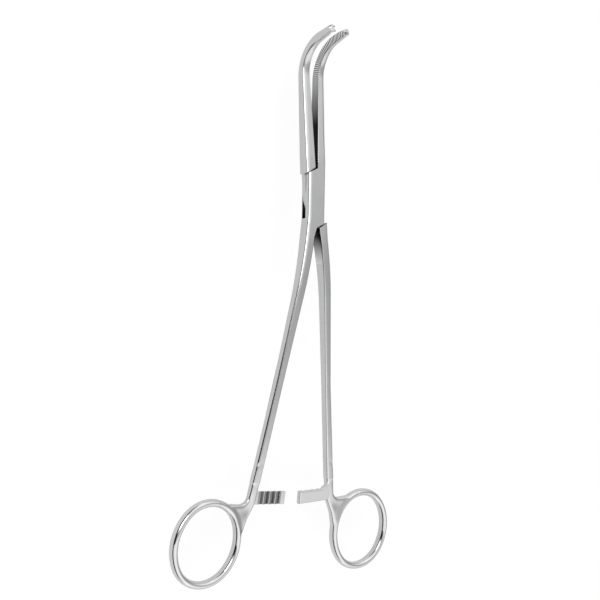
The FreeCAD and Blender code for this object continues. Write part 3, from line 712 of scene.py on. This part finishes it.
right_ring = forged_ring()
left_ring = mirrored(right_ring.copy())
piece(bent(right_ring), "male_web_and_ring", "male", MALE_OPENING, 0.0, [satin_steel],
      "male_half")
piece(bent(left_ring), "female_web_and_ring", "female", FEMALE_OPENING, 0.0, [satin_steel],
      "female_half")

# Ratchet. An arm on each shank reaches over the middle, the left one behind and the right
# one in front, with four saw teeth milled across the faces that meet.

ARM_HALF_GAP, ARM_BACK, ARM_END = 0.05, 2.15, -2.3
ARM_ROUNDING, ARM_BROKEN_EDGE = 0.6, 0.1
FEMALE_FILLET, MALE_FILLET = 1.2, 5.0
ROOT_SINK, ROOT_REACH, ROOT_RISE, ROOT_SHARE = 0.6, 2.0, 5.4, 0.6
GULLETS, GULLET_START, GULLET_PITCH = 4, -0.05, 3.0
GULLET_LENGTH, GULLET_DEPTH = 2.65, 0.9
arm_steels = [satin_steel, milled_and_shaded_steel]


def gullet(start, crest, deeper):
    """Cutter for one gullet across an arm, steep at its start and running out at the crest."""
    deep, above = crest + deeper * GULLET_DEPTH, crest - deeper * 0.2
    profile = [(start, above), (start, deep), (start + GULLET_LENGTH, crest),
               (start + GULLET_LENGTH, above)]
    return prism([(x, ARM_LOW - 0.5, z) for x, z in profile], (0, ARM_HIGH - ARM_LOW + 0.8, 0))


def ratchet_arm(deeper, fillet):
    """Right-hand arm with its teeth, from its end to its root inside the shank. It lies in
    front of the middle where deeper is 1, and behind it where deeper is -1."""
    root = shank_section(-ARM_HIGH)[1] + ROOT_SINK
    inside = root + ROOT_REACH
    points = [Vector((ARM_END, ARM_LOW)), Vector((inside, ARM_LOW)),
              Vector((inside, ARM_HIGH + ROOT_RISE)), Vector((root, ARM_HIGH + ROOT_RISE + fillet)),
              Vector((root, ARM_HIGH)), Vector((ARM_END, ARM_HIGH))]
    crest, back = deeper * ARM_HALF_GAP, deeper * ARM_BACK
    bm = plate(cornered(points, [0, 0, 0, 0, fillet, 0]), min(crest, back), max(crest, back))
    rims = [e for e in bm.edges if all(abs(v.co.z - back) < 1e-4 for v in e.verts)]
    rounded(bm, rims, ARM_ROUNDING, 4)
    # The root is thinner than the shank that it is inside.
    for v in bm.verts:
        if v.co.x > root + 0.1 and abs(v.co.z) > 1:
            v.co.z *= ROOT_SHARE
    bm = carved(bm, [gullet(GULLET_START + GULLET_PITCH * i, crest, deeper)
                     for i in range(GULLETS)])
    milled_end = GULLET_START + GULLET_PITCH * GULLETS
    # Painted shade, with a rougher milled finish, in the gullets.
    for face in bm.faces:
        x, y, z = face.calc_center_median()
        in_gullet = 0 < x < milled_end and ARM_LOW + 0.1 < y < ARM_HIGH and abs(face.normal.y) < 0.1
        if in_gullet and ARM_HALF_GAP + HAIR < abs(z) < 1.0:
            face.material_index = arm_steels.index(milled_and_shaded_steel)
    return bm


for name, half, opening, deeper, fillet in (
        ("female_ratchet_arm", "female", FEMALE_OPENING, -1, FEMALE_FILLET),
        ("male_ratchet_arm", "male", MALE_OPENING, 1, MALE_FILLET)):
    arm = ratchet_arm(deeper, fillet)
    if half == "female":
        arm = mirrored(arm)
    piece(bent(arm), name, half, opening, ARM_BROKEN_EDGE, arm_steels, half + "_half")

# Floor and light. Plain white paper, as low as the male ring swings when the clamp is open,
# a soft white sky that is bright on the left, plain on the right and dark along the left
# horizon, and the camera of the photograph.

OPEN_RING_DROP = 0.0092
PAPER_GREY, PAPER_GLOW = 0.8, 1.1

ground = bmesh.new()
bmesh.ops.create_grid(ground, x_segments=1, y_segments=1, size=3.0)
bmesh.ops.translate(ground, verts=ground.verts, vec=(0, 0, -OPEN_RING_DROP))
paper = mesh_object(ground, "paper_floor")
white = bpy.data.materials.new("white_paper")
white.use_nodes = True
white.node_tree.nodes.clear()
wire = Wire(white.node_tree)
lit = wire.node("ShaderNodeBsdfDiffuse", {}, {"Color": (PAPER_GREY, PAPER_GREY, PAPER_GREY, 1)})
glow = wire.node("ShaderNodeEmission", {}, {"Color": (1, 1, 1, 1), "Strength": PAPER_GLOW})
seen = wire.node("ShaderNodeLightPath", {}, {}, "Is Camera Ray")
mirrored_by_steel = wire.node("ShaderNodeLightPath", {}, {}, "Is Glossy Ray")
plain = wire.node("ShaderNodeMixShader", {}, {0: seen * 0.75 + mirrored_by_steel * 0.25,
                                              1: lit, 2: glow})
wire.node("ShaderNodeOutputMaterial", {}, {"Surface": plain})
paper.data.materials.append(white)

# The sky is dimmest square across the clamp and brighter towards its ends, most of all past
# the rings. It is read by the turn from the left horizon, 0, over the top to the right, 1. The
# dark along the left horizon stands highest square across the clamp and far along it.
SKY_SHIFT, SKY_GAIN, SKY_LOWEST, SKY_HIGHEST = 0.05, 3.2, 0.58, 1.5
RINGS_GAIN, RINGS_START = 4.5, 0.45
HORIZON_RISE = 0.16

world = bpy.data.worlds.new("studio")
world.use_nodes = True
world.node_tree.nodes.clear()
bpy.context.scene.world = world
wire = Wire(world.node_tree)
direction = wire.node("ShaderNodeTexCoord", {}, {}, "Generated")
across = wire.node("ShaderNodeSeparateXYZ", {}, {"Vector": direction}, "X")
along = wire.node("ShaderNodeSeparateXYZ", {}, {"Vector": direction}, "Y")
upward = wire.node("ShaderNodeSeparateXYZ", {}, {"Vector": direction}, "Z")
off = along + SKY_SHIFT
past_rings = wire.maths("MAXIMUM", off * -RINGS_GAIN - RINGS_START, 0.0)
level = wire.maths("MINIMUM", off * off * SKY_GAIN + past_rings + SKY_LOWEST, SKY_HIGHEST)
ends = wire.node("ShaderNodeMapRange", {}, {"Value": level, "From Min": 0.65, "From Max": 0.80,
                                            "To Min": 0.0, "To Max": 1.0})
turn = wire.maths("ARCTAN2", upward, across * -1.0) * (1 / math.pi)
turn = turn - HORIZON_RISE * (along * along) - HORIZON_RISE * (1.0 - ends)
sky = wire.node("ShaderNodeValToRGB", {"stops": [(0.0, 0.03), (0.09, 0.03), (0.15, 1.15),
                                                 (0.46, 1.15), (0.58, 0.80), (0.72, 0.70),
                                                 (0.85, 0.55), (0.94, 0.22)]}, {"Fac": turn})
right_side = wire.node("ShaderNodeValToRGB", {"stops": [(0.40, 0.0), (0.56, 1.0)]}, {"Fac": turn})
left_level = 0.55 + 0.45 * ends
level = right_side * (level - left_level) + left_level
sky = wire.node("ShaderNodeVectorMath", {"operation": "SCALE"}, {0: sky, "Scale": level})
seen = wire.node("ShaderNodeLightPath", {}, {}, "Is Camera Ray")
shown = wire.node("ShaderNodeMix", {"data_type": "RGBA"},
                  {"Factor": seen, "A": sky, "B": (1, 1, 1, 1)}, 2)
light = wire.node("ShaderNodeBackground", {}, {"Color": shown, "Strength": 1.0})
wire.node("ShaderNodeOutputWorld", {}, {"Surface": light})

box = bpy.data.lights.new("softbox", "AREA")
box.shape, box.size, box.size_y, box.energy = "RECTANGLE", 0.5, 0.35, 2.0
softbox = bpy.data.objects.new("softbox", box)
softbox.location = (-0.75, 0.42, 0.65)
softbox.rotation_euler = (-softbox.location).to_track_quat("-Z", "Y").to_euler()
bpy.context.scene.collection.objects.link(softbox)

# The camera stands in front, round to the left, and looks up a little at a point between the
# lock and the rings. The focal length is in pixels of a picture 600 wide, the turns are in
# radians and the distance and the point in millimetres.
FOCAL_PIXELS, PICTURE_WIDTH, SENSOR_WIDTH = 1018.54, 600, 36.0
AROUND, LOOKING_UP, ROLL, DISTANCE = 0.6632, 0.1163, -0.015, 422.43
AIM = Vector((-7.8327, -43.9474, 0))

lens = bpy.data.cameras.new("photo_view")
lens.sensor_width, lens.lens = SENSOR_WIDTH, FOCAL_PIXELS / PICTURE_WIDTH * SENSOR_WIDTH
lens.clip_start, lens.clip_end = 0.01, 20
camera = bpy.data.objects.new("photo_view", lens)
right = Vector((math.cos(AROUND), 0, math.sin(AROUND)))
ahead = Vector((math.sin(AROUND), 0, -math.cos(AROUND)))
up = Vector((0, 1, 0))
ahead, up = (math.cos(LOOKING_UP) * ahead + math.sin(LOOKING_UP) * up,
             math.cos(LOOKING_UP) * up - math.sin(LOOKING_UP) * ahead)
right, up = (math.cos(ROLL) * right + math.sin(ROLL) * up,
             math.cos(ROLL) * up - math.sin(ROLL) * right)
stand = Matrix((right, up, -ahead)).transposed().to_4x4()
stand.translation = (AIM - ahead * DISTANCE) * 0.001
camera.matrix_world = LOCK_STAND @ stand
bpy.context.scene.collection.objects.link(camera)
bpy.context.scene.camera = camera
bpy.context.scene.view_settings.view_transform = "Standard"
